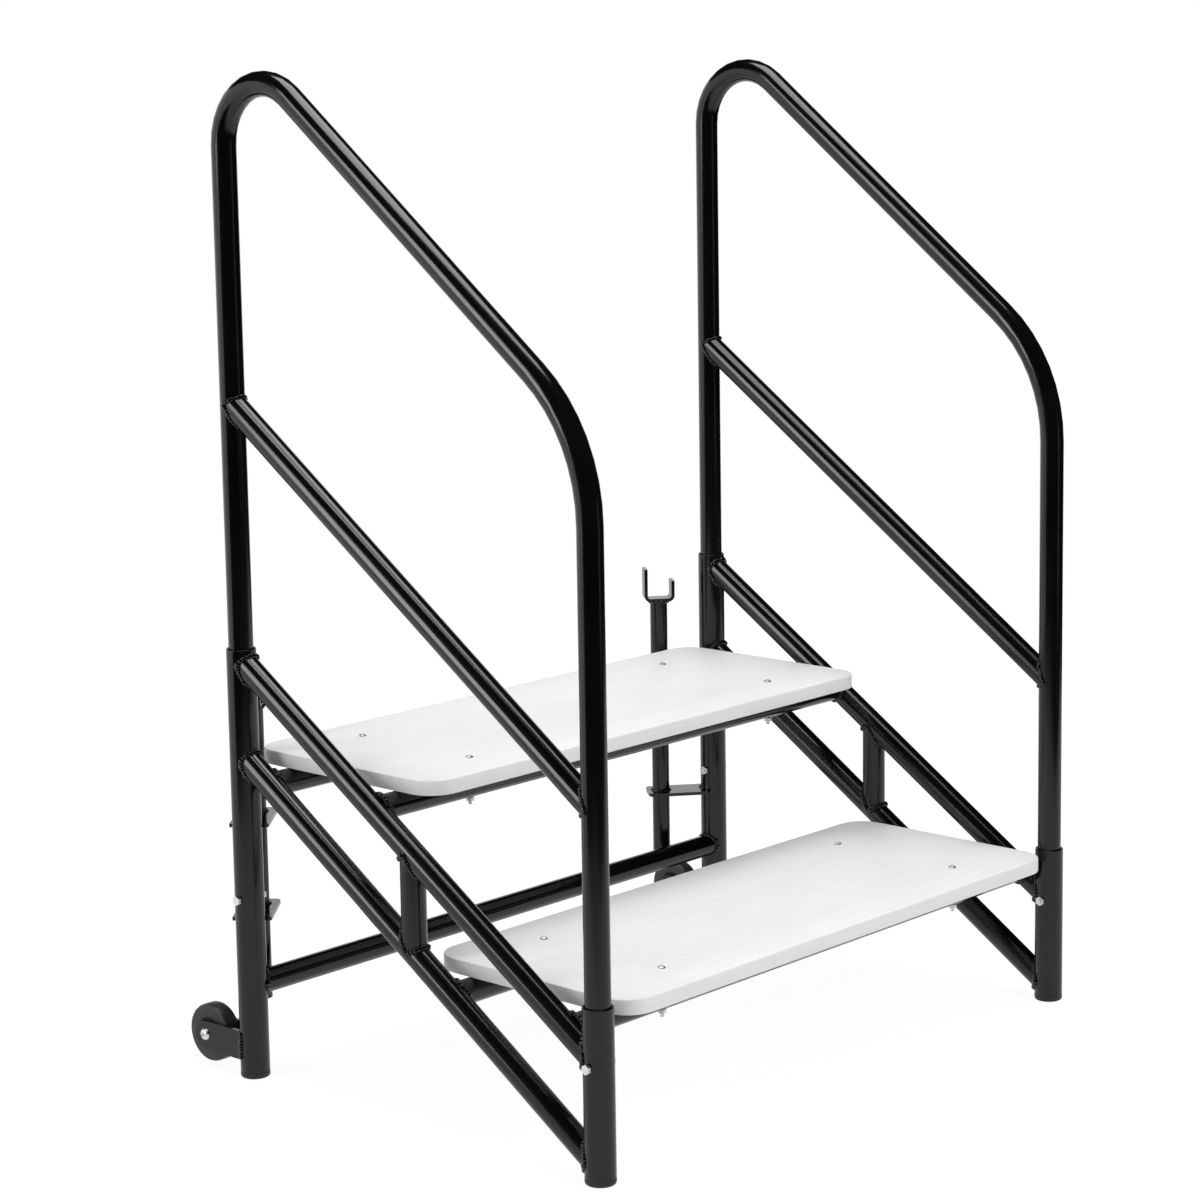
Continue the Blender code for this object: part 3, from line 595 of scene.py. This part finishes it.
def build_floor():
    """A plain pale floor that looks white and keeps a faint shadow under the object; to reflections
    it is a painted glow that fades towards the camera.
    """
    material = bpy.data.materials.new("floor_pale")
    material.use_nodes = True
    tree = material.node_tree
    tree.nodes.clear()
    path = tree.nodes.new("ShaderNodeLightPath")
    paper = matt(tree, FLOOR_PAPER)
    faint = matt(tree, FLOOR_FAINT)
    glow = tree.nodes.new("ShaderNodeEmission")
    glow.inputs["Strength"].default_value = FLOOR_GLOW
    add = tree.nodes.new("ShaderNodeAddShader")
    towards_camera = tree.nodes.new("ShaderNodeVectorMath")
    towards_camera.operation = "DOT_PRODUCT"
    towards_camera.inputs[1].default_value = FADE_WAY
    place = tree.nodes.new("ShaderNodeTexCoord").outputs["Object"]
    tree.links.new(place, towards_camera.inputs[0])
    # Painted reflection: glossy rays see the floor as an emitting glow, dimmer towards the camera,
    # in place of lit paper
    mirrored = tree.nodes.new("ShaderNodeEmission")
    painted_glow_strength = spread(tree, towards_camera.outputs["Value"], FADE_RANGE, FADE_LEVELS)
    tree.links.new(painted_glow_strength, mirrored.inputs["Strength"])
    paper_or_painted_glow = tree.nodes.new("ShaderNodeMixShader")
    mix = tree.nodes.new("ShaderNodeMixShader")
    out = tree.nodes.new("ShaderNodeOutputMaterial")
    tree.links.new(faint.outputs[0], add.inputs[0])
    tree.links.new(glow.outputs[0], add.inputs[1])
    tree.links.new(path.outputs["Is Glossy Ray"], paper_or_painted_glow.inputs["Fac"])
    tree.links.new(paper.outputs[0], paper_or_painted_glow.inputs[1])
    tree.links.new(mirrored.outputs[0], paper_or_painted_glow.inputs[2])
    tree.links.new(path.outputs["Is Camera Ray"], mix.inputs["Fac"])
    tree.links.new(paper_or_painted_glow.outputs[0], mix.inputs[1])
    tree.links.new(add.outputs[0], mix.inputs[2])
    tree.links.new(mix.outputs[0], out.inputs["Surface"])
    mesh = bmesh.new()
    (west, east), (south, north) = FLOOR_X, FLOOR_Y
    corners = ((west, south), (east, south), (east, north), (west, north))
    mesh.faces.new([mesh.verts.new((*corner, FLOOR_Z)) for corner in corners])
    stage_object("floor", mesh_data("floor", mesh, material))


def build_flags():
    """Black flags round the camera's side of the studio, which only reflections see."""
    mesh = bmesh.new()
    grid = {}
    for i in range(FLAG_COLUMNS + 1):
        for j in range(FLAG_ROWS + 1):
            azimuth = TURN * i / FLAG_COLUMNS
            height = math.pi * (j / FLAG_ROWS - 0.5)
            grid[i, j] = mesh.verts.new((
                FLAG_RADIUS * math.cos(height) * math.sin(azimuth),
                FLAG_RADIUS * math.cos(height) * math.cos(azimuth),
                FLAG_CENTRE_Z + FLAG_RADIUS * math.sin(height),
            ))
    for i in range(FLAG_COLUMNS):
        azimuth = (360 * (i + 0.5) / FLAG_COLUMNS + 180) % 360 - 180
        for j in range(FLAG_ROWS):
            height = 180 * ((j + 0.5) / FLAG_ROWS - 0.5)
            if abs(azimuth) < FLAG_OPEN_SIDE and height < FLAG_OPEN_TOP:
                continue
            mesh.faces.new((grid[i, j], grid[i + 1, j], grid[i + 1, j + 1], grid[i, j + 1]))
    bmesh.ops.remove_doubles(mesh, verts=mesh.verts, dist=0.001)
    material = bpy.data.materials.new("flag_cloth")
    material.use_nodes = True
    shader = material.node_tree.nodes["Principled BSDF"]
    shader.inputs["Base Color"].default_value = (FLAG_GREY, FLAG_GREY, FLAG_GREY, 1)
    shader.inputs["Roughness"].default_value = 1.0
    shader.inputs["Specular IOR Level"].default_value = 0.0
    flags = stage_object("flags", mesh_data("flags", mesh, material))
    flags.visible_camera = False
    flags.visible_diffuse = False
    flags.visible_shadow = False
    flags.visible_transmission = False


def soft_box(name, azimuth, elevation, distance, width, height, radiance, mirrored=True):
    """A rectangular lamp that faces the object; azimuth 0 is +Y and 90 is +X."""
    data = bpy.data.lights.new(name, "AREA")
    data.shape = "RECTANGLE"
    data.size = width
    data.size_y = height
    data.energy = radiance * math.pi * width * height
    a, e = math.radians(azimuth), math.radians(elevation)
    way = Vector((math.sin(a) * math.cos(e), math.cos(a) * math.cos(e), math.sin(e)))
    lamp = bpy.data.objects.new(name, data)
    lamp.location = LAMP_TARGET + way * distance
    lamp.rotation_euler = way.to_track_quat("Z", "Y").to_euler()
    lamp.visible_camera = False
    lamp.visible_glossy = mirrored
    bpy.context.scene.collection.objects.link(lamp)


build_world()
build_floor()
build_flags()
soft_box("overhead", azimuth=40, elevation=86, distance=5.0, width=3.2, height=3.2, radiance=5.6)
soft_box("left_strip", azimuth=-68, elevation=18, distance=5.3, width=1.35, height=2.8, radiance=6.0)
soft_box("front_fill", azimuth=175, elevation=30, distance=5.0, width=3.3, height=2.2, radiance=4.0,
         mirrored=False)
soft_box("right_strip", azimuth=158, elevation=-2, distance=3.4, width=0.8, height=0.9,
         radiance=0.35)


# Camera: fitted to the photograph's vanishing lines and the legs' feet

IMAGE_SIZE = 1200
FOCAL_PIXELS = 3142.699
CENTRE_PIXELS = (663.1229, 535.1665)
SENSOR_MM = 36.0
CAMERA_ANGLES = (-48.4445, 9.1174, -0.7382)
CAMERA_PLACE = (-3.0241, -2.73495, 1.3276)
CAMERA_REACH = 60.0


def build_camera():
    azimuth, elevation, roll = (math.radians(v) for v in CAMERA_ANGLES)
    back = Vector((
        math.sin(azimuth) * math.cos(elevation),
        -math.cos(azimuth) * math.cos(elevation),
        math.sin(elevation),
    ))
    level = UP.cross(back).normalized()
    above = back.cross(level)
    right = math.cos(roll) * level + math.sin(roll) * above
    top = -math.sin(roll) * level + math.cos(roll) * above
    data = bpy.data.cameras.new("photo_camera")
    data.sensor_fit = "HORIZONTAL"
    data.sensor_width = SENSOR_MM
    data.lens = FOCAL_PIXELS / IMAGE_SIZE * SENSOR_MM
    data.shift_x = -(CENTRE_PIXELS[0] - IMAGE_SIZE / 2) / IMAGE_SIZE
    data.shift_y = (CENTRE_PIXELS[1] - IMAGE_SIZE / 2) / IMAGE_SIZE
    data.clip_end = CAMERA_REACH
    camera = bpy.data.objects.new("photo_camera", data)
    camera.matrix_world = Matrix((*zip(right, top, back, CAMERA_PLACE), (0, 0, 0, 1)))
    bpy.context.scene.collection.objects.link(camera)
    bpy.context.scene.camera = camera


build_camera()
bpy.context.scene.view_settings.view_transform = "Standard"
